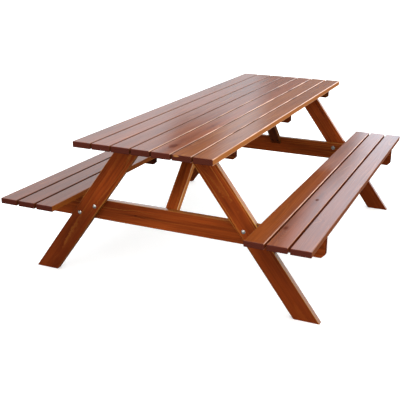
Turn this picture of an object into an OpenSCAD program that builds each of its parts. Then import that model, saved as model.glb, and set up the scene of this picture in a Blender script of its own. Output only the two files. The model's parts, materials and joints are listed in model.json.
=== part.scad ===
// Picnic table with two fixed benches: two A-frames bolted up from boards,
// joined along the length by the table top, the bench planks and two braces.
// Origin: on the ground, under the centre of the table. X runs across the
// table, Y along it (the front end is at -Y), Z up. Millimetres.

/* [Overall] */
// Length of the table top and of the benches
table_length = 2000; // [1800:10:2200]
// Height of the table top's upper face
table_height = 750; // [730:5:790]
// Height of the seats' upper face
seat_height = 430; // [420:5:450]
// Width over both benches
overall_width = 1500; // [1490:5:1540]

/* [Planks] */
// Width of every plank
plank_w = 88; // [86:1:90]
// Thickness of every plank
plank_t = 27; // [24:1:28]
// Gap between the planks of the top
top_gap = 7; // [4:0.5:8]
// Gap between the planks of a bench
bench_gap = 11; // [8:0.5:12]
// Radius of the eased edges of the planks
plank_arris = 3; // [1:0.5:6]

/* [Frames] */
// Thickness of the legs, bearers, battens and cleats
frame_t = 28; // [26:1:30]
// Distance from a table end to the outer face of the legs
frame_inset = 209; // [180:1:240]
// Width of a leg, square to its length
leg_w = 98; // [90:1:100]
// Distance from the middle of the table to a leg's centre line at the ground
leg_foot_x = 686; // [670:1:700]
// Distance from the middle of the table to a leg's centre line under the top
leg_top_x = 148; // [140:1:156]
// Height of the bearers that carry the benches
bearer_h = 102; // [95:1:110]
// Height of the battens under the top
batten_h = 38; // [36:1:45]
// Height of the cleat under the middle of each bench
cleat_h = 50; // [50:1:55]
// Radius of the eased edges of the frame boards
frame_arris = 2.5; // [1:0.5:4]

/* [Braces] */
// Width of a brace
brace_w = 62; // [50:1:70]
// Thickness of a brace
brace_t = 28; // [24:1:30]
// Slope of a brace above the horizontal
brace_angle = 46; // [44:1:48]

/* [Fasteners] */
// Diameter of the carriage bolts
bolt_d = 8; // [6:1:8]
// Length of the carriage bolts under the head
bolt_length = 70; // [68:1:76]
// Shank diameter of the wood screws
screw_d = 5; // [4:0.5:5]

/* [Hidden] */
$fn = 48;

TOP_PLANKS = 7;
BENCH_PLANKS = 3;
FRONT = -1;
REAR = 1;
LEFT = -1;
RIGHT = 1;

// Colours
PALE_STAIN = "#b07a5e";
RED_STAIN = "#8a3d1c";
DARK_STAIN = "#6b2c14";
ZINC = "#c8cacc";

// Clearance that makes a cutting body run past a face
PAST = 1;

// Table top and benches
underside_z = table_height - plank_t;
plank_pitch = plank_w + top_gap;
bench_pitch = plank_w + bench_gap;
bench_w = BENCH_PLANKS * plank_w + (BENCH_PLANKS - 1) * bench_gap;
bench_outer_x = overall_width / 2;
bench_inner_x = bench_outer_x - bench_w;
bench_x = (bench_outer_x + bench_inner_x) / 2;
bench_underside_z = seat_height - plank_t;

// Frames: the legs are outside, the bearer and the batten against their inner faces
leg_outer_y = table_length / 2 - frame_inset;
leg_y = leg_outer_y - frame_t / 2;
bearer_y = leg_y - frame_t;
bearer_inner_y = bearer_y - frame_t / 2;
leg_slope = (leg_foot_x - leg_top_x) / underside_z;
leg_angle = atan(leg_slope);
leg_stock_length = underside_z / cos(leg_angle) + 2 * leg_w;

// Boards of the frames, each set back a little under the planks that it carries
bearer_setback = 6;
bearer_mid_z = bench_underside_z - bearer_h / 2;
bearer_half = bench_outer_x - bearer_setback;
bearer_chamfer = 18;
batten_setback = 4;
batten_mid_z = underside_z - batten_h / 2;
batten_half = (TOP_PLANKS * plank_pitch - top_gap) / 2 - batten_setback;
batten_chamfer = 9;
cleat_setback = 19;
cleat_half = bench_w / 2 - cleat_setback;
cleat_chamfer = 12;

// Braces
brace_top_drop = 4;
brace_upper_z = bench_underside_z - brace_top_drop;
brace_rise = underside_z - brace_upper_z;
brace_stock_length = 2 * brace_rise / sin(brace_angle);

// Carriage bolts, washers and nuts, in the proportions of M8 ones
bolt_head_d = 2.5 * bolt_d;
bolt_head_h = 0.6 * bolt_d;
bolt_neck_h = 0.5 * bolt_d;
bolt_clearance = 0.5;
bolt_hole_d = bolt_d + bolt_clearance;
washer_d = 3 * bolt_d;
washer_t = 2;
nut_across_flats = 1.625 * bolt_d;
nut_h = 0.8125 * bolt_d;
// Bolts of a leg and bearer lap, from the lap's centre: one high and inside, one low and outside
bearer_bolt_dx = 43;
bearer_bolt_dz = 21;
// Bolts of a leg and batten lap, side by side
batten_bolt_dx = 30;

// Wood screws
screw_head_d = 9;
screw_head_h = 3;
screw_point = 6;
screw_clearance = 0.6;
screw_hole_d = screw_d + screw_clearance;
screw_pocket_d = 11;
top_screw_length = 50;
top_screw_spread = 44;
bench_screw_length = 70;
bench_screw_spread = 30;
bench_screw_bite = 20;
brace_screw_length = 40;
brace_screw_spread = 30;
brace_screw_skin = 4;
brace_foot_screw_drop = 15;
brace_foot_screw_z = brace_upper_z - brace_foot_screw_drop;
brace_head_screw_inset = 14;
bench_screw_z = bench_underside_z + bench_screw_bite - bench_screw_length;

// Centre line of a leg at height z
function leg_x(z) = leg_top_x + (underside_z - z) * leg_slope;

// Middle of plank i of the top, and of plank i of a bench, both counted from the left
function top_plank_x(i) = (i - (TOP_PLANKS + 1) / 2) * plank_pitch;
function bench_plank_x(side, i) = side * bench_x + (i - (BENCH_PLANKS + 1) / 2) * bench_pitch;

// Lower face of a front brace at height z
function brace_lower_y(z) =
    -bearer_inner_y + (z - brace_upper_z + brace_t / cos(brace_angle)) / tan(brace_angle);

// Bolt centres [x, z] on the right side of a frame
bearer_bolts_xz = [
    [leg_x(bearer_mid_z) - bearer_bolt_dx, bearer_mid_z + bearer_bolt_dz],
    [leg_x(bearer_mid_z) + bearer_bolt_dx, bearer_mid_z - bearer_bolt_dz]
];
batten_bolts_xz = [
    for (s = [-1, 1]) [leg_x(batten_mid_z) + s * batten_bolt_dx, batten_mid_z]
];

// ---- Placing ----

// A shape made for the front right corner, put at any corner
module at_corner(side, end) {
    mirror([side < 0 ? 1 : 0, 0, 0])
        mirror([0, end > 0 ? 1 : 0, 0])
            children();
}

module at_all_corners() {
    for (side = [LEFT, RIGHT], end = [FRONT, REAR])
        at_corner(side, end) children();
}

// A shape made at y = 0, put at the front and rear bearers
module at_both_bearers() {
    for (end = [FRONT, REAR])
        translate([0, end * bearer_y, 0]) children();
}

// A row of shapes across a plank's width
module spread_in_x(spread) {
    for (s = [-1, 1])
        translate([s * spread / 2, 0, 0]) children();
}

// ---- Stock ----

// Cross-section of a board with eased edges
module board_section(w, h, arris) {
    square([w - 2 * arris, h], center = true);
    square([w, h - 2 * arris], center = true);
    for (x = [-1, 1], y = [-1, 1])
        translate([x * (w / 2 - arris), y * (h / 2 - arris)]) circle(arris);
}

// Plank along Y with every edge eased, and with its underside at z = 0
module plank() {
    translate([0, 0, plank_t / 2])
        intersection() {
            rotate([90, 0, 0])
                linear_extrude(table_length, center = true)
                    board_section(plank_w, plank_t, plank_arris);
            rotate([90, 0, 90])
                linear_extrude(plank_w, center = true)
                    board_section(table_length, plank_t, plank_arris);
            linear_extrude(plank_t, center = true)
                board_section(plank_w, table_length, plank_arris);
        }
}

// Board on edge along X, its lower corners cut off, centred on the origin
module chamfered_board(half, h, chamfer) {
    intersection() {
        rotate([0, 90, 0])
            linear_extrude(2 * half, center = true)
                board_section(h, frame_t, frame_arris);
        linear_extrude(h, center = true)
            board_section(2 * half, frame_t, frame_arris);
        rotate([90, 0, 0])
            linear_extrude(frame_t + 2 * PAST, center = true)
                polygon([
                    [-half, h / 2], [-half, chamfer - h / 2], [chamfer - half, -h / 2],
                    [half - chamfer, -h / 2], [half, chamfer - h / 2], [half, h / 2]
                ]);
    }
}

// ---- Fasteners ----

// Carriage bolt along Z: its domed head above z = 0, its square neck and shank below
module carriage_bolt() {
    dome_r = (pow(bolt_head_d / 2, 2) + pow(bolt_head_h, 2)) / (2 * bolt_head_h);
    intersection() {
        translate([0, 0, bolt_head_h - dome_r]) sphere(dome_r);
        cylinder(h = bolt_head_h + PAST, d = bolt_head_d + PAST);
    }
    translate([0, 0, -bolt_neck_h / 2]) cube([bolt_d, bolt_d, bolt_neck_h], center = true);
    translate([0, 0, -bolt_length]) cylinder(h = bolt_length, d = bolt_d);
}

// Hole for a carriage bolt along Z, with the square seat of its neck below z = 0
module bolt_hole() {
    translate([0, 0, -bolt_neck_h / 2 + PAST / 2])
        cube([bolt_d, bolt_d, bolt_neck_h + PAST], center = true);
    translate([0, 0, -2 * frame_t - PAST]) cylinder(h = 2 * frame_t + 2 * PAST, d = bolt_hole_d);
}

// Washer, and hexagon nut, on a bolt along Z, each with its upper face at z = 0
module washer() {
    translate([0, 0, -washer_t])
        difference() {
            cylinder(h = washer_t, d = washer_d);
            translate([0, 0, -PAST]) cylinder(h = washer_t + 2 * PAST, d = bolt_hole_d);
        }
}

module hex_nut() {
    translate([0, 0, -nut_h])
        difference() {
            cylinder(h = nut_h, d = nut_across_flats / cos(30), $fn = 6);
            translate([0, 0, -PAST]) cylinder(h = nut_h + 2 * PAST, d = bolt_d);
        }
}

// Countersunk wood screw pointing up, with its head's face at z = 0
module wood_screw(length) {
    rotate_extrude()
        polygon([
            [0, 0], [screw_head_d / 2, 0], [screw_d / 2, screw_head_h],
            [screw_d / 2, length - screw_point], [0, length]
        ]);
}

// What a screw cuts out of the board under its head: the countersink, a loose hole
// and a pocket below, deep enough for the head to sit inside the board
module screw_passage(length, pocket) {
    cylinder(h = screw_head_h, d1 = screw_head_d, d2 = screw_d);
    cylinder(h = length, d = screw_hole_d);
    translate([0, 0, -pocket]) cylinder(h = pocket, d = screw_pocket_d);
}

// The bolts of one lap of the front right corner, at the outer face of the leg
module at_bolts(centres) {
    for (c = centres)
        translate([c[0], -leg_outer_y, c[1]])
            rotate([90, 0, 0]) children();
}

// The screws through a batten into every plank of the top, heads at z = 0
module at_top_screws() {
    for (i = [1 : TOP_PLANKS])
        translate([top_plank_x(i), 0, 0])
            spread_in_x(top_screw_spread) children();
}

// The screws through a bearer into every bench plank
module at_bearer_screws() {
    for (side = [LEFT, RIGHT], i = [1 : BENCH_PLANKS])
        translate([bench_plank_x(side, i), 0, bench_screw_z])
            spread_in_x(bench_screw_spread) children();
}

// The screws through a cleat into its bench's planks, one each
module at_cleat_screws(side) {
    for (i = [1 : BENCH_PLANKS])
        translate([bench_plank_x(side, i), 0, bench_screw_z]) children();
}

// The screws through a front brace's foot into the bearer
module at_brace_foot_screws() {
    translate([0, brace_lower_y(brace_foot_screw_z) - brace_screw_skin, brace_foot_screw_z])
        rotate([90, 0, 0])
            spread_in_x(brace_screw_spread) children();
}

// The screws through a front brace's head into the middle plank of the top
module at_brace_head_screws() {
    y = brace_lower_y(underside_z) - brace_t / sin(brace_angle) + brace_head_screw_inset;
    z = brace_upper_z + (y + bearer_inner_y) * tan(brace_angle) - brace_t / cos(brace_angle);
    translate([0, y, z + brace_screw_skin])
        spread_in_x(brace_screw_spread) children();
}

// ---- Timber ----

module top_plank(i) {
    color(PALE_STAIN)
        difference() {
            translate([top_plank_x(i), 0, underside_z]) plank();
            for (y = [-bearer_y, 0, bearer_y])
                translate([top_plank_x(i), y, underside_z - batten_h])
                    spread_in_x(top_screw_spread) wood_screw(top_screw_length);
            if (i == (TOP_PLANKS + 1) / 2)
                for (end = [FRONT, REAR])
                    at_corner(RIGHT, end) at_brace_head_screws() wood_screw(brace_screw_length);
        }
}

module bench_plank(side, i) {
    color(PALE_STAIN)
        difference() {
            translate([bench_plank_x(side, i), 0, bench_underside_z]) plank();
            at_both_bearers()
                translate([bench_plank_x(side, i), 0, bench_screw_z])
                    spread_in_x(bench_screw_spread) wood_screw(bench_screw_length);
            translate([bench_plank_x(side, i), 0, bench_screw_z]) wood_screw(bench_screw_length);
        }
}

module leg(side, end) {
    color(RED_STAIN)
        at_corner(side, end)
            difference() {
                intersection() {
                    translate([leg_x(underside_z / 2), -leg_y, underside_z / 2])
                        rotate([0, -leg_angle, 0])
                            linear_extrude(leg_stock_length, center = true)
                                board_section(leg_w, frame_t, frame_arris);
                    translate([0, -leg_outer_y - PAST, 0])
                        cube([overall_width, frame_t + 2 * PAST, underside_z]);
                }
                at_bolts(concat(bearer_bolts_xz, batten_bolts_xz)) bolt_hole();
            }
}

module bearer(end) {
    color(RED_STAIN)
        difference() {
            translate([0, end * bearer_y, bearer_mid_z])
                chamfered_board(bearer_half, bearer_h, bearer_chamfer);
            for (side = [LEFT, RIGHT])
                at_corner(side, end) at_bolts(bearer_bolts_xz) bolt_hole();
            translate([0, end * bearer_y, 0])
                at_bearer_screws() screw_passage(bench_screw_length, bearer_h);
            at_corner(RIGHT, end) at_brace_foot_screws() wood_screw(brace_screw_length);
        }
}

// Batten under the top, with no bolts
module plain_batten(y) {
    difference() {
        translate([0, y, batten_mid_z])
            chamfered_board(batten_half, batten_h, batten_chamfer);
        translate([0, y, underside_z - batten_h])
            at_top_screws() screw_passage(top_screw_length, PAST);
    }
}

module middle_top_batten() {
    color(DARK_STAIN) plain_batten(0);
}

module end_top_batten(end) {
    color(DARK_STAIN)
        difference() {
            plain_batten(end * bearer_y);
            for (side = [LEFT, RIGHT])
                at_corner(side, end) at_bolts(batten_bolts_xz) bolt_hole();
        }
}

module bench_cleat(side) {
    color(DARK_STAIN)
        difference() {
            translate([side * bench_x, 0, bench_underside_z - cleat_h / 2])
                chamfered_board(cleat_half, cleat_h, cleat_chamfer);
            at_cleat_screws(side) screw_passage(bench_screw_length, cleat_h);
        }
}

// Board that slopes up from the bearer's inner face to the middle plank of the top
module brace(end) {
    color(RED_STAIN)
        at_corner(RIGHT, end)
            difference() {
                intersection() {
                    translate([0, -bearer_inner_y, brace_upper_z])
                        rotate([brace_angle - 90, 0, 0])
                            translate([0, brace_t / 2, brace_rise / 2])
                                linear_extrude(brace_stock_length, center = true)
                                    board_section(brace_w, brace_t, frame_arris);
                    translate([-brace_w, -bearer_inner_y, 0])
                        cube([2 * brace_w, bearer_inner_y, underside_z]);
                }
                at_brace_foot_screws() screw_passage(brace_screw_length, brace_t);
                at_brace_head_screws() screw_passage(brace_screw_length, brace_t);
            }
}

// ---- Hardware ----

module bearer_bolts() {
    color(ZINC) at_all_corners() at_bolts(bearer_bolts_xz) carriage_bolt();
}

module batten_bolts() {
    color(ZINC) at_all_corners() at_bolts(batten_bolts_xz) carriage_bolt();
}

module bolt_washers() {
    color(ZINC)
        at_all_corners()
            at_bolts(concat(bearer_bolts_xz, batten_bolts_xz))
                translate([0, 0, -2 * frame_t]) washer();
}

module bolt_nuts() {
    color(ZINC)
        at_all_corners()
            at_bolts(concat(bearer_bolts_xz, batten_bolts_xz))
                translate([0, 0, -2 * frame_t - washer_t]) hex_nut();
}

module top_screws() {
    color(ZINC)
        for (y = [-bearer_y, 0, bearer_y])
            translate([0, y, underside_z - batten_h])
                at_top_screws() wood_screw(top_screw_length);
}

module bench_screws() {
    color(ZINC)
        at_both_bearers() at_bearer_screws() wood_screw(bench_screw_length);
}

module cleat_screws() {
    color(ZINC)
        for (side = [LEFT, RIGHT])
            at_cleat_screws(side) wood_screw(bench_screw_length);
}

module brace_screws() {
    color(ZINC)
        for (end = [FRONT, REAR])
            at_corner(RIGHT, end) {
                at_brace_foot_screws() wood_screw(brace_screw_length);
                at_brace_head_screws() wood_screw(brace_screw_length);
            }
}

top_plank(1);  // top_plank_1
top_plank(2);  // top_plank_2
top_plank(3);  // top_plank_3
top_plank(4);  // top_plank_4
top_plank(5);  // top_plank_5
top_plank(6);  // top_plank_6
top_plank(7);  // top_plank_7
bench_plank(LEFT, 1);  // left_bench_plank_1
bench_plank(LEFT, 2);  // left_bench_plank_2
bench_plank(LEFT, 3);  // left_bench_plank_3
bench_plank(RIGHT, 1);  // right_bench_plank_1
bench_plank(RIGHT, 2);  // right_bench_plank_2
bench_plank(RIGHT, 3);  // right_bench_plank_3
leg(LEFT, FRONT);  // front_left_leg
leg(RIGHT, FRONT);  // front_right_leg
leg(LEFT, REAR);  // rear_left_leg
leg(RIGHT, REAR);  // rear_right_leg
bearer(FRONT);  // front_bearer
bearer(REAR);  // rear_bearer
end_top_batten(FRONT);  // front_top_batten
middle_top_batten();
end_top_batten(REAR);  // rear_top_batten
bench_cleat(LEFT);  // left_bench_cleat
bench_cleat(RIGHT);  // right_bench_cleat
brace(FRONT);  // front_brace
brace(REAR);  // rear_brace
bearer_bolts();
batten_bolts();
bolt_washers();
bolt_nuts();
top_screws();
bench_screws();
cleat_screws();
brace_screws();
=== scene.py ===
"""Looks of the picnic table: stained softwood boards and zinc-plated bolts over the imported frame."""

import json
import math
import random

import bpy
from mathutils import Matrix, Vector


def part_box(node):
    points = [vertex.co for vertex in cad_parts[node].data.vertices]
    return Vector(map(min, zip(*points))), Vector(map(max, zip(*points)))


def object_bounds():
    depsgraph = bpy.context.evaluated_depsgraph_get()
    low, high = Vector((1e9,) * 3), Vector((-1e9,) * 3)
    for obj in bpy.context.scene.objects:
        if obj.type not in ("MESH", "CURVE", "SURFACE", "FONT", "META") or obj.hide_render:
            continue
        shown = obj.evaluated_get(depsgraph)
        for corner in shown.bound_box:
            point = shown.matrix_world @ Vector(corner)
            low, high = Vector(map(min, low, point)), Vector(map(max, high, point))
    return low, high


MM = 0.001
WHITE = (1.0, 1.0, 1.0, 1.0)

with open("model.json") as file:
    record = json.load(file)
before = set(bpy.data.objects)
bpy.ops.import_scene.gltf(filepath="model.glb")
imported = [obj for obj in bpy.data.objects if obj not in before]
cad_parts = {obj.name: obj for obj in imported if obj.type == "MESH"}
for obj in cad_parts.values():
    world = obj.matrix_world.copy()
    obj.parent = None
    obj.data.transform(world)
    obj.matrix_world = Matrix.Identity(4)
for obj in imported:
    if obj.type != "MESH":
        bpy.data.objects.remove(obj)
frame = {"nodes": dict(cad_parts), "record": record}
cad_lo, cad_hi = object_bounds()
nodes = frame["nodes"]


# ---- Shader nodes ----

def add(tree, kind, inputs=None, **settings):
    """Adds a shader node. A socket given as an input is linked to it, anything else is its value."""
    node = tree.nodes.new("ShaderNode" + kind)
    for name, value in settings.items():
        setattr(node, name, value)
    for key, value in (inputs or {}).items():
        if isinstance(value, bpy.types.NodeSocket):
            tree.links.new(value, node.inputs[key])
        else:
            node.inputs[key].default_value = value
    return node


def math_node(tree, operation, a, b=0.0):
    return add(tree, "Math", {0: a, 1: b}, operation=operation).outputs[0]


def vector_node(tree, operation, a, b=(0.0, 0.0, 0.0)):
    node = add(tree, "VectorMath", {0: a, 1: b}, operation=operation)
    return node.outputs["Value" if operation in ("LENGTH", "DOT_PRODUCT") else "Vector"]


def ramp(tree, value, low, high, to_low=0.0, to_high=1.0):
    """value from low to high, smoothly brought to the range to_low to to_high."""
    node = add(
        tree, "MapRange",
        {"Value": value, "From Min": low, "From Max": high, "To Min": to_low, "To Max": to_high},
        interpolation_type="SMOOTHSTEP",
    )
    return node.outputs["Result"]


def blend(tree, factor, under, over):
    """Colour over laid on colour under."""
    return add(tree, "MixRGB", {"Fac": factor, "Color1": under, "Color2": over}).outputs["Color"]


def stretched(tree, vector, scale):
    return vector_node(tree, "MULTIPLY", vector, scale)


def noise(tree, vector, detail=3.0):
    return add(tree, "TexNoise", {"Vector": vector, "Scale": 1.0, "Detail": detail})


def colour(code, lift=1.0):
    """A hex colour as linear RGBA, made lighter or darker by lift."""
    parts = [int(code[i:i + 2], 16) / 255 for i in (1, 3, 5)]
    linear = [p / 12.92 if p <= 0.04045 else ((p + 0.055) / 1.055) ** 2.4 for p in parts]
    return (*(min(1.0, p * lift) for p in linear), 1.0)


def new_material(name):
    material = bpy.data.materials.new(name)
    material.use_nodes = True
    material.node_tree.nodes.clear()
    return material, material.node_tree


def surface(tree, inputs):
    shader = add(tree, "BsdfPrincipled", inputs)
    add(tree, "OutputMaterial", {"Surface": shader.outputs["BSDF"]})


# ---- Timber ----

# Stains: the colours of the wood's parts, the scale of its rings, how strongly their lines show,
# how much its edges are lightened, partly by wear and partly as a painted highlight, and how far
# in from them, in mm, whether only the right ones, which face the lamp, are, and its satin coat.
# The dark side tone of the planks is painted shade for the gaps between them. Softwood takes stain
# in its soft early wood and much less in the hard late wood, so the rings show as lighter lines.
PLANK_STAIN = {
    "body": "#803f17", "deep": "#643010", "line": "#a5642c", "knot": "#4a1c0a", "end": "#542720",
    "side": "#542b16", "worn_and_highlit": "#a9744c", "bare": "#b87a45", "ring_scale": 46.0,
    "line_depth": 0.4, "wear_and_highlight": 0.6, "edge_mark_width": 3, "right_only": True,
    "coat": 0.65, "coat_roughness": 0.1,
}
# Planks with a strong pale painted highlight along their right edges and darker painted shade in the
# gaps between them
HIGHLIT_EDGE_STAIN = {**PLANK_STAIN, "side": "#40200f", "worn_and_highlit": "#e0ae90", "wear_and_highlight": 1.5, "edge_mark_width": 5}
GOLDEN_STAIN = {**HIGHLIT_EDGE_STAIN, "body": "#864816", "deep": "#6a340f", "line": "#ab7230"}
FRAME_STAIN = {
    "body": "#9b4418", "deep": "#521d09", "line": "#c07a34", "knot": "#3a1208", "end": "#431a0d",
    "side": "#85501f", "worn_and_highlit": "#b87834", "bare": "#b87a45", "ring_scale": 30.0,
    "line_depth": 0.55, "wear_and_highlight": 0.5, "edge_mark_width": 5, "right_only": False,
    "coat": 0.9, "coat_roughness": 0.15,
}
# The boards whose stain, painted edge highlight or painted side shade differ from the rest of their
# kind. The outermost planks, whose outer sides stand in the open, have lighter sides with less of the
# painted gap shade
OWN_STAINS = {
    "top_plank_4": {**HIGHLIT_EDGE_STAIN, "wear_and_highlight": 0.9},
    "top_plank_5": HIGHLIT_EDGE_STAIN,
    "top_plank_6": GOLDEN_STAIN,
    "top_plank_7": {**GOLDEN_STAIN, "side": "#a56a3a"},
    "left_bench_plank_3": {**PLANK_STAIN, "side": "#9c5520"},
    "right_bench_plank_1": {**HIGHLIT_EDGE_STAIN, "side": "#642711", "edge_mark_width": 4},
    "right_bench_plank_2": {**HIGHLIT_EDGE_STAIN, "side": "#642711", "wear_and_highlight": 1.0, "edge_mark_width": 4},
    "right_bench_plank_3": {**PLANK_STAIN, "side": "#68391f"},
    "front_right_leg": {
        **FRAME_STAIN, "side": "#6c4827", "worn_and_highlit": "#c8903f", "line_depth": 0.35, "wear_and_highlight": 0.9,
    },
    "front_bearer": {**FRAME_STAIN, "line_depth": 0.3},
    "front_brace": {
        **FRAME_STAIN, "side": "#a8703a", "worn_and_highlit": "#d3a677", "line_depth": 0.25, "wear_and_highlight": 1.0,
    },
}
TONES = ("body", "deep", "line", "knot", "end", "side", "worn_and_highlit", "bare")
# How light each board is made against the rest: partly its own tone, partly painted shade, darker on
# the battens, cleats, rear bearer and rear brace under and behind the table, and partly painted light,
# lighter on the front legs and front brace, which the top shades
SHADE_AND_TONE_LIFTS = {
    "front_left_leg": 1.2, "front_right_leg": 1.25, "rear_left_leg": 1.0, "rear_right_leg": 1.25,
    "front_bearer": 1.1, "rear_bearer": 0.85, "front_brace": 1.2, "rear_brace": 0.35,
    "front_top_batten": 0.6, "middle_top_batten": 0.55, "rear_top_batten": 0.5,
    "left_bench_cleat": 0.35, "right_bench_cleat": 0.4,
    "left_bench_plank_1": 0.9, "left_bench_plank_2": 0.9, "left_bench_plank_3": 0.9,
}
# From and to what part of that a board's lightness comes out by chance
LIFT_SPREAD = (0.92, 1.08)
# Knots: how far along a plank to its front end and across it to the right, or along a bearer to
# its right end and down, in mm from the middle of the board, then the radius in mm and how dark
KNOTS = {
    "front_bearer": ((-173, 3, 7, 0.8),),
    "rear_bearer": (),
    "top_plank_5": ((883, 2, 25, 0.9), (489, 5, 10, 0.9)),
    "right_bench_plank_2": ((803, -30, 15, 0.85), (409, -6, 12, 0.8)),
    "right_bench_plank_3": ((659, -6, 10, 0.35),),
}
# The other boards' knots come by chance: how many, how far out at most as parts of the board's
# half length and half width, radius in mm, and how dark
CHANCE_COUNTS = (0, 1, 1, 2)
CHANCE_ALONG = 0.9
CHANCE_ACROSS = 0.7
CHANCE_RADIUS = (4, 8)
CHANCE_DARK = (0.5, 0.8)
# Bare places where a splinter has come off: where and how big, as for knots
CHIPS = {"top_plank_6": (1001, -24, 14)}
# The wood's figure: how fast each part of it changes along the board, across it and through it,
# per metre, and its detail
FIGURE = {
    "fibre": ((9.0, 420.0, 420.0), 2.0),
    "streak": ((3.0, 95.0, 95.0), 4.0),
    "strip": ((1.2, 24.0, 24.0), 1.0),
    "blotch": ((2.4, 14.0, 14.0), 4.0),
}
# Each board is cut from its own place in the wood, up to this far out, in metres
LOG_REACH = 50
# The pith: how far at most to the side of the board, and how far above or below it, in mm
PITH_ASIDE = 40
PITH_AWAY = (25, 70)
# How fast the rings wander as they go along the board, and how far
WANDER = (1.1, 8.0, 8.0)
WANDER_REACH = 50 * MM
# Where in each ring the pale line of late wood comes and goes, and where the dark line of early
# wood beside it fades
LINE_COMES = (0.68, 0.9)
LINE_GOES = (0.93, 1.0)
GROOVE_GOES = (0.05, 0.4)
# Knots are long along the board, their trails longer, and both go well down into it
KNOT_SQUASH = (0.5, 1.0, 0.2)
TRAIL_SQUASH = (0.1, 1.0, 0.2)
# In radii of the knot: how far it pushes the rings aside, how far out it still does, and where
# its core and its trail end. The trail is this much of the core's darkness
KNOT_PUSH = 2.5
KNOT_REACH = 5
CORE_ENDS = (0.3, 1.2)
TRAIL_ENDS = (0.4, 1.6)
TRAIL_DARK = 0.4
UP = Vector((0, 0, 1))
REARWARD = Vector((0, 1, 0))
# Of a board's two directions, the one that its length is measured along
LENGTHWISE = Vector((1, -2, 3))
# The edges that run along a board are at least this part of its longest one
LONG_EDGE = 0.8


def grain_direction(board):
    """Unit vector along a board: the mean of its longest edges."""
    mesh = board.data
    ends = [(mesh.vertices[e.vertices[0]].co, mesh.vertices[e.vertices[1]].co) for e in mesh.edges]
    spans = [b - a for a, b in ends]
    longest = max(span.length for span in spans)
    along = [s if s.dot(LENGTHWISE) > 0 else -s for s in spans if s.length > LONG_EDGE * longest]
    return sum(along, Vector()).normalized()


def board_axes(board, through):
    """Matrix from the frame to the board: X along the grain, Y across the face, Z through it."""
    along = grain_direction(board)
    through = (through - along * through.dot(along)).normalized()
    turn = Matrix((along, through.cross(along), through)).to_4x4()
    lo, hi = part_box(board.name)
    return turn @ Matrix.Translation(-(lo + hi) / 2)


def knots_of(board, half, chance):
    """The board's own knots, or up to two small ones by chance, in metres."""
    if board.name in KNOTS:
        return [
            (along * MM, across * MM, radius * MM, dark)
            for along, across, radius, dark in KNOTS[board.name]
        ]
    return [
        (
            chance.uniform(-CHANCE_ALONG, CHANCE_ALONG) * half.x,
            chance.uniform(-CHANCE_ACROSS, CHANCE_ACROSS) * half.y,
            chance.uniform(*CHANCE_RADIUS) * MM,
            chance.uniform(*CHANCE_DARK),
        )
        for _ in range(chance.choice(CHANCE_COUNTS))
    ]


def distance(tree, spot, centre, squash):
    """How far the spot is from the centre, each direction squashed by its own factor."""
    gap = vector_node(tree, "SUBTRACT", spot, centre)
    return vector_node(tree, "LENGTH", stretched(tree, gap, squash))


def bulge_and_core(tree, spot, knot):
    """How far a knot pushes the rings aside, and how dark it is, with its trail along the grain."""
    along, across, radius, dark = knot
    centre = (along, across, 0.0)
    reach = distance(tree, spot, centre, KNOT_SQUASH)
    bulge = ramp(tree, reach, 0.0, KNOT_REACH * radius, KNOT_PUSH * radius, 0.0)
    core = ramp(tree, reach, CORE_ENDS[0] * radius, CORE_ENDS[1] * radius, dark, 0.0)
    trail = distance(tree, spot, centre, TRAIL_SQUASH)
    trail = ramp(
        tree, trail, TRAIL_ENDS[0] * radius, TRAIL_ENDS[1] * radius, TRAIL_DARK * dark, 0.0,
    )
    return bulge, math_node(tree, "MAXIMUM", core, trail)


def rings(tree, spot, own, knots, chance, scale):
    """Annual rings about a pith beside the board, wandering along it and bent round its knots.

    Returns the late wood's lines, the dark lines of early wood beside them and the knots' dark
    cores, each from 0 to 1.
    """
    drift = noise(tree, stretched(tree, own, WANDER), 2.0).outputs["Color"]
    drift = vector_node(tree, "SUBTRACT", drift, (0.5, 0.5, 0.5))
    drift = stretched(tree, drift, (0.0, WANDER_REACH, WANDER_REACH))
    side = chance.choice((-1, 1))
    aside = chance.uniform(-PITH_ASIDE, PITH_ASIDE)
    pith = Vector((0, aside, side * chance.uniform(*PITH_AWAY))) * MM
    bent = vector_node(tree, "ADD", vector_node(tree, "ADD", spot, pith), drift)
    cores = 0.0
    for knot in knots:
        bulge, core = bulge_and_core(tree, spot, knot)
        push = add(tree, "CombineXYZ", {"Z": bulge}).outputs["Vector"]
        bent = vector_node(tree, "ADD", bent, push)
        cores = math_node(tree, "MAXIMUM", cores, core)
    wave = add(
        tree, "TexWave",
        {"Vector": bent, "Scale": scale, "Distortion": 1.0, "Detail": 2.0, "Detail Scale": 3.0},
        wave_type="RINGS", rings_direction="X", wave_profile="SAW",
    ).outputs["Fac"]
    comes = ramp(tree, wave, *LINE_COMES)
    goes = ramp(tree, wave, *LINE_GOES, 1.0, 0.0)
    grooves = ramp(tree, wave, *GROOVE_GOES, 1.0, 0.0)
    return math_node(tree, "MULTIPLY", comes, goes), grooves, cores


# An edge is at its palest this close to the corner
EDGE = 1 * MM


def arris(tree, spot, half, width, right_only):
    """1 at the board's long edges, or at its right ones only, and 0 at the width away from them."""
    mirrored = vector_node(tree, "ABSOLUTE", spot)
    across = add(tree, "SeparateXYZ", {"Vector": spot if right_only else mirrored}).outputs["Y"]
    through = add(tree, "SeparateXYZ", {"Vector": mirrored}).outputs["Z"]
    by_side = ramp(tree, across, half.y - width, half.y - EDGE)
    by_face = ramp(tree, through, half.z - width, half.z - EDGE)
    return math_node(tree, "MULTIPLY", by_side, by_face)


# Where a face comes to look along a direction, by the cosine of the angle between them
FACING = (0.4, 0.6)


def facing(tree, normal, direction):
    """1 where the surface looks along the direction or against it, 0 where it looks elsewhere."""
    likeness = vector_node(tree, "DOT_PRODUCT", normal, direction)
    return ramp(tree, math_node(tree, "ABSOLUTE", likeness), *FACING)


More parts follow.
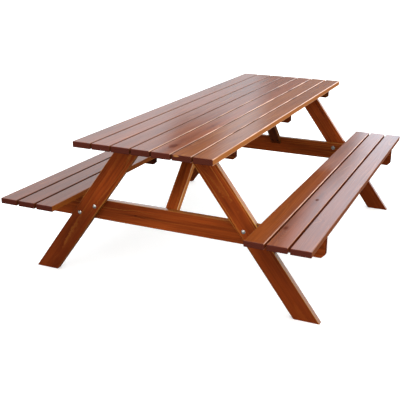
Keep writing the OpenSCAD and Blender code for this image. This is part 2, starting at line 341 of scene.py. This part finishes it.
# How the stain's parts come in: over which stretch of their figure, and from how much to how
# much. The rings' lines show in strips, nearly gone between them
BLOTCHES = (0.35, 0.75, 0.0, 0.7)
STREAKS = (0.4, 0.75, 0.0, 0.55)
FIBRES = (0.5, 0.8, 0.0, 0.4)
LINE_STRIPS = (0.47, 0.66, 0.08)


def stained_face(tree, tone, grain, line_depth):
    """The stain's blotches and streaks, the rings' lines in strips, the fibres and the knots."""
    paint = blend(tree, ramp(tree, grain["blotch"], *BLOTCHES), tone["body"], tone["deep"])
    paint = blend(tree, ramp(tree, grain["streak"], *STREAKS), paint, tone["deep"])
    strength = ramp(tree, grain["strip"], *LINE_STRIPS, line_depth)
    paint = blend(tree, math_node(tree, "MULTIPLY", grain["grooves"], strength), paint, tone["deep"])
    paint = blend(tree, math_node(tree, "MULTIPLY", grain["lines"], strength), paint, tone["line"])
    paint = blend(tree, ramp(tree, grain["fibre"], *FIBRES), paint, tone["deep"])
    return blend(tree, grain["cores"], paint, tone["knot"])


# How much of their own tone the sides have, on the planks dark painted shade for the gaps between
# them, and how much the rings' lines show on end grain
SIDE_TONE = 0.65
END_LINES = 0.4


def side_and_end(tree, paint, tone, grain):
    """The sides take their own tone, on the planks a dark one that is painted shade for the gaps, and
    end grain drinks the stain.
    """
    paint = blend(tree, math_node(tree, "MULTIPLY", grain["side"], SIDE_TONE), paint, tone["side"])
    lines = math_node(tree, "MULTIPLY", grain["lines"], END_LINES)
    end_tone = blend(tree, lines, tone["end"], tone["body"])
    return blend(tree, grain["end"], paint, end_tone)


# Where the pale edge, partly wear and partly painted highlight, comes in: over which stretch of the
# fibres and of the blotches, and how much of it there is in its faintest places
EDGE_MARK_FIBRES = (0.3, 0.6)
EDGE_MARK_PATCHES = (0.35, 0.55)
LEAST_EDGE_MARK = 0.2


def wear_and_highlight(tree, paint, tone, grain, edges, amount):
    """Pale edges, partly stain rubbed off and partly painted highlight, more in some places than
    others.
    """
    edge_mark = math_node(tree, "MULTIPLY", edges, ramp(tree, grain["fibre"], *EDGE_MARK_FIBRES, LEAST_EDGE_MARK))
    patches = ramp(tree, grain["blotch"], *EDGE_MARK_PATCHES, LEAST_EDGE_MARK * amount, amount)
    return blend(tree, math_node(tree, "MULTIPLY", edge_mark, patches), paint, tone["worn_and_highlit"])


# How much darker the legs get towards their feet, and from which height to which that thins out
FOOT_DARK = 0.6
FOOT_DARK_FROM = 250 * MM
FOOT_DARK_TO = 480 * MM


def darker_foot(tree, paint, tone, place):
    """A leg's paint, darker towards its foot."""
    height = add(tree, "SeparateXYZ", {"Vector": place["Object"]}).outputs["Z"]
    return blend(tree, ramp(tree, height, FOOT_DARK_FROM, FOOT_DARK_TO, FOOT_DARK, 0.0), paint, tone["deep"])


# A chip is short along the board and shallow, lies this far under the face, and ends here, in
# parts of its size
CHIP_SQUASH = (3.0, 1.0, 3.4)
CHIP_DEPTH = 5 * MM
CHIP_ENDS = (0.8, 1.1)


def chipped(tree, paint, tone, spot, half, chip):
    """Bare wood where a splinter has come off the board's end."""
    along, across, reach = [size * MM for size in chip]
    gap = distance(tree, spot, (along, across, half.z - CHIP_DEPTH), CHIP_SQUASH)
    bare = ramp(tree, gap, CHIP_ENDS[0] * reach, CHIP_ENDS[1] * reach, 1.0, 0.0)
    return blend(tree, bare, paint, tone["bare"])


# Where a face comes to look up, by the height of its normal, and how much coat the others have.
# End grain has drunk the coat down to this part of it, and so have knots, more and more between
# these two darknesses
COATED = (0.1, 0.55)
THIN_COAT = 0.1
DRUNK_COAT = 0.1
DRUNK_KNOTS = (0.3, 0.75)


def coat_weight(tree, place, grain, most):
    """The satin coat was brushed on from above: faces that look up have it, the rest hardly any.

    End grain and knots have drunk it.
    """
    upward = add(tree, "SeparateXYZ", {"Vector": place["Normal"]}).outputs["Z"]
    coat = ramp(tree, upward, *COATED, THIN_COAT, most)
    dull = math_node(tree, "MAXIMUM", grain["end"], ramp(tree, grain["cores"], *DRUNK_KNOTS))
    return math_node(tree, "MULTIPLY", coat, ramp(tree, dull, 0.0, 1.0, 1.0, DRUNK_COAT))


# The wood under the coat: over which stretch of its fibres it goes from how smooth to how rough,
# how rough its end grain is, and how little it shines
ROUGH = (0.3, 0.7, 0.38, 0.55)
END_ROUGH = 0.75
SPECULAR = 0.01
COAT_IOR = 1.45
# The relief of the grain, and how far the late wood stands proud, as a part of the fibres' depth
RELIEF = 0.25
RELIEF_DEPTH = 0.4 * MM
PROUD = 0.4


def timber(board, through, stain):
    """Stained softwood for one board, cut from its own part of its own log."""
    chance = random.Random(board.name)
    material, tree = new_material(board.name + "_timber")
    axes = board_axes(board, through)
    corners = [axes @ vertex.co for vertex in board.data.vertices]
    half = Vector([max(abs(corner[i]) for corner in corners) for i in range(3)])
    # The board's lightness: its tone, partly by chance, times its painted shade or painted light
    lift = SHADE_AND_TONE_LIFTS.get(board.name, 1.0) * chance.uniform(*LIFT_SPREAD)
    tone = {name: colour(stain[name], lift) for name in TONES}

    place = add(tree, "TexCoord").outputs
    spot = add(
        tree, "Mapping",
        {"Vector": place["Object"], "Location": axes.to_translation(), "Rotation": axes.to_euler()},
    ).outputs["Vector"]
    log = Vector([chance.uniform(-LOG_REACH, LOG_REACH) for _ in range(3)])
    own = vector_node(tree, "ADD", spot, log)
    knots = knots_of(board, half, chance)
    lines, grooves, cores = rings(tree, spot, own, knots, chance, stain["ring_scale"])
    grain = {
        name: noise(tree, stretched(tree, own, size), detail).outputs["Fac"]
        for name, (size, detail) in FIGURE.items()
    }
    along, across, _ = axes.to_3x3()
    grain.update(
        lines=lines, grooves=grooves, cores=cores,
        end=facing(tree, place["Normal"], along),
        side=facing(tree, place["Normal"], across),
    )

    edges = arris(tree, spot, half, stain["edge_mark_width"] * MM, stain["right_only"])
    paint = stained_face(tree, tone, grain, stain["line_depth"])
    paint = side_and_end(tree, paint, tone, grain)
    paint = wear_and_highlight(tree, paint, tone, grain, edges, stain["wear_and_highlight"])
    if board.name.endswith("leg"):
        paint = darker_foot(tree, paint, tone, place)
    if board.name in CHIPS:
        paint = chipped(tree, paint, tone, spot, half, CHIPS[board.name])

    rough = ramp(tree, grain["fibre"], *ROUGH)
    end_rough = math_node(tree, "MULTIPLY", grain["end"], END_ROUGH)
    rough = math_node(tree, "MAXIMUM", rough, end_rough)
    height = math_node(tree, "SUBTRACT", math_node(tree, "MULTIPLY", lines, PROUD), grain["fibre"])
    relief = add(tree, "Bump", {"Strength": RELIEF, "Distance": RELIEF_DEPTH, "Height": height})
    surface(tree, {
        "Base Color": paint, "Roughness": rough, "Normal": relief.outputs["Normal"],
        "Specular IOR Level": SPECULAR,
        "Coat Weight": coat_weight(tree, place, grain, stain["coat"]),
        "Coat Roughness": stain["coat_roughness"], "Coat IOR": COAT_IOR,
    })
    board.data.materials[0] = material


def dress_boards():
    slots = {part["node"]: part["material_slot"] for part in frame["record"]["subparts"]}
    for name, board in nodes.items():
        if slots[name] in ("top_boards", "bench_boards"):
            timber(board, UP, OWN_STAINS.get(name, PLANK_STAIN))
        elif slots[name] == "frame_timber":
            through = UP if name.endswith("brace") else REARWARD
            timber(board, through, OWN_STAINS.get(name, FRAME_STAIN))


# ---- Zinc ----

# How fast the clouds in the plating change, per metre, where they turn from dull to bright, and
# how rough the plating is in the dull and in the bright ones
CLOUD = (260.0, 260.0, 260.0)
CLOUD_TURNS = (0.3, 0.7)
PLATE_ROUGH = (0.16, 0.28)
PLATE_RELIEF = 0.2
PLATE_DEPTH = 0.1 * MM


def plated_steel(name, shade, bright):
    """Zinc-plated steel, slightly clouded."""
    material, tree = new_material(name)
    spot = add(tree, "TexCoord").outputs["Object"]
    cloud = noise(tree, stretched(tree, spot, CLOUD), 4.0).outputs["Fac"]
    relief = add(
        tree, "Bump", {"Strength": PLATE_RELIEF, "Distance": PLATE_DEPTH, "Height": cloud},
    )
    surface(tree, {
        "Base Color": blend(tree, ramp(tree, cloud, *CLOUD_TURNS), colour(shade), colour(bright)),
        "Roughness": ramp(tree, cloud, *CLOUD_TURNS, *PLATE_ROUGH),
        "Normal": relief.outputs["Normal"],
        "Metallic": 1.0,
    })
    return material


def dress_hardware():
    zinc = plated_steel("zinc", "#adaba6", "#d6d3cc")
    stained = plated_steel("stained_zinc", "#33170c", "#4a2413")
    for name, node in nodes.items():
        if name.endswith(("bolts", "washers", "nuts")):
            node.data.materials[0] = zinc
        elif name.endswith("screws"):
            node.data.materials[0] = stained


# ---- Studio ----

# The studio's walls, laid one over the other: from and to in degrees left of the table's rear
# end, from and to in degrees up, how far each leans to the left per degree up, and its light
PANELS = (
    ((120, 200), (-90, 36), 0.0, (1.2, 1.2, 1.2)),
    ((-200, -110), (-90, 36), 0.0, (1.4, 1.4, 1.4)),
    ((-80, -12), (-90, 36), 0.0, (2.2, 2.2, 2.0)),
    ((-12, 60), (-90, 36), 0.0, (1.12, 1.43, 1.6)),
    ((-12, 23), (17, 36), 0.0, (0.12, 0.12, 0.12)),
    ((16.0, 20.7), (13.0, 18), 0.5, (0.0, 0.0, 0.0)),
    ((20, 33.5), (19.2, 33), 0.0, (3.0, 3.0, 3.0)),
    ((19, 25), (-90, 13), 0.0, (0.97, 1.22, 1.36)),
    ((10, 20.1), (-90, 16.8), 0.0, (0.41, 0.46, 0.49)),
    ((-25, 3.2), (-90, 19), 0.55, (2.2, 2.8, 3.25)),
    ((-25, 4.2), (-90, 14.4), 0.55, (2.45, 3.15, 3.7)),
    ((-25, 4.4), (18, 36), 0.55, (2.45, 3.15, 3.7)),
)
# How far the light of a panel fades on either side of its edges, in degrees
FADE = 1.1
DIM_WALL = (0.8, 0.8, 0.8)
# The ceiling's light, and where the walls turn into it, in degrees up
CEILING = (1.7, 1.7, 1.7)
CEILING_FROM = 33
CEILING_FULL = 38
# The one lamp, a disc off the table's right side: place, target and size in metres, power in watts
KEY_AT = (6.5, -0.6, 3.3)
KEY_TARGET = (0.5, 0, 0.5)
KEY_SIZE = 6.0
KEY_POWER = 200
KEY_TINT = (1.0, 0.94, 0.86)


def between(tree, value, span):
    """1 where the value, in degrees, is within the span, 0 outside."""
    above = ramp(tree, value, span[0] - FADE, span[0] + FADE)
    below = ramp(tree, value, span[1] - FADE, span[1] + FADE, 1.0, 0.0)
    return math_node(tree, "MULTIPLY", above, below)


def studio():
    """White studio: bright walls behind the table with gaps between them, dim walls in front."""
    world = bpy.data.worlds.new("studio")
    bpy.context.scene.world = world
    world.use_nodes = True
    tree = world.node_tree
    tree.nodes.clear()
    look = add(tree, "SeparateXYZ", {"Vector": add(tree, "TexCoord").outputs["Generated"]}).outputs
    rightward = math_node(tree, "ARCTAN2", look["X"], look["Y"])
    left = math_node(tree, "MULTIPLY", math_node(tree, "DEGREES", rightward), -1.0)
    up = math_node(tree, "DEGREES", math_node(tree, "ARCSINE", look["Z"]))
    light = (*DIM_WALL, 1.0)
    for across, rise, lean, shade in PANELS:
        leaning = math_node(tree, "SUBTRACT", left, math_node(tree, "MULTIPLY", up, lean))
        mask = math_node(tree, "MULTIPLY", between(tree, leaning, across), between(tree, up, rise))
        light = blend(tree, mask, light, (*shade, 1.0))
    light = blend(tree, ramp(tree, up, CEILING_FROM, CEILING_FULL), light, (*CEILING, 1.0))
    seen = add(tree, "LightPath").outputs["Is Camera Ray"]
    light = blend(tree, seen, light, WHITE)
    glow = add(tree, "Background", {"Color": light, "Strength": 1.0})
    add(tree, "OutputWorld", {"Surface": glow.outputs["Background"]})
    area_light("key", KEY_AT, KEY_TARGET, KEY_SIZE, KEY_POWER, KEY_TINT)
    bpy.context.scene.view_settings.view_transform = "Standard"


def area_light(name, at, target, size, power, tint):
    lamp = bpy.data.lights.new(name, "AREA")
    lamp.shape = "DISK"
    lamp.size = size
    lamp.energy = power
    lamp.color = tint
    light = bpy.data.objects.new(name, lamp)
    light.location = at
    light.rotation_euler = (Vector(target) - Vector(at)).to_track_quat("-Z", "Y").to_euler()
    bpy.context.scene.collection.objects.link(light)


# What the floor throws back on to the table: less than it shows, to keep the undersides dark
FLOOR_BOUNCE = (0.18, 0.18, 0.18, 1.0)
# How much the floor glows where it is seen, which thins the shadows on it
FLOOR_GLOW = 0.25
# How far the floor goes on from the table, in metres, and how fast its mottle changes, per metre
FLOOR_REACH = 60.0
MOTTLE = (3.0, 3.0, 3.0)


def floor():
    mesh = bpy.data.meshes.new("floor")
    corners = [(x * FLOOR_REACH, y * FLOOR_REACH, 0) for x, y in ((-1, -1), (1, -1), (1, 1), (-1, 1))]
    mesh.from_pydata(corners, [], [(0, 1, 2, 3)])
    plane = bpy.data.objects.new("floor", mesh)
    plane.location.z = cad_lo.z
    bpy.context.scene.collection.objects.link(plane)
    material, tree = new_material("pale_floor")
    mottle = noise(tree, stretched(tree, add(tree, "TexCoord").outputs["Object"], MOTTLE))
    paint = blend(tree, mottle.outputs["Fac"], colour("#f9f9f9"), colour("#fdfdfd"))
    seen = add(tree, "LightPath").outputs["Is Camera Ray"]
    surface(tree, {
        "Base Color": blend(tree, seen, FLOOR_BOUNCE, paint),
        "Roughness": 0.9,
        "Specular IOR Level": 0.1,
        "Emission Color": WHITE,
        "Emission Strength": math_node(tree, "MULTIPLY", seen, FLOOR_GLOW),
    })
    mesh.materials.append(material)


# Where the camera stands, in metres, how it is turned, in degrees, and its lens, in mm
CAMERA_AT = Vector((1.378, -3.329, 1.504))
CAMERA_TURN = 22.04
CAMERA_TILT = -19.82
CAMERA_ROLL = 0.94
SENSOR = 36.0
LENS = 60.95
SHIFT = -0.0929


def camera():
    data = bpy.data.cameras.new("camera")
    data.sensor_width = SENSOR
    data.lens = LENS
    data.shift_x = SHIFT
    eye = bpy.data.objects.new("camera", data)
    turn = Matrix.Rotation(math.radians(CAMERA_TURN), 4, "Z")
    tilt = Matrix.Rotation(math.radians(90 + CAMERA_TILT), 4, "X")
    roll = Matrix.Rotation(math.radians(CAMERA_ROLL), 4, "Z")
    eye.matrix_world = Matrix.Translation(CAMERA_AT) @ turn @ tilt @ roll
    bpy.context.scene.collection.objects.link(eye)
    bpy.context.scene.camera = eye


dress_boards()
dress_hardware()
floor()
studio()
camera()
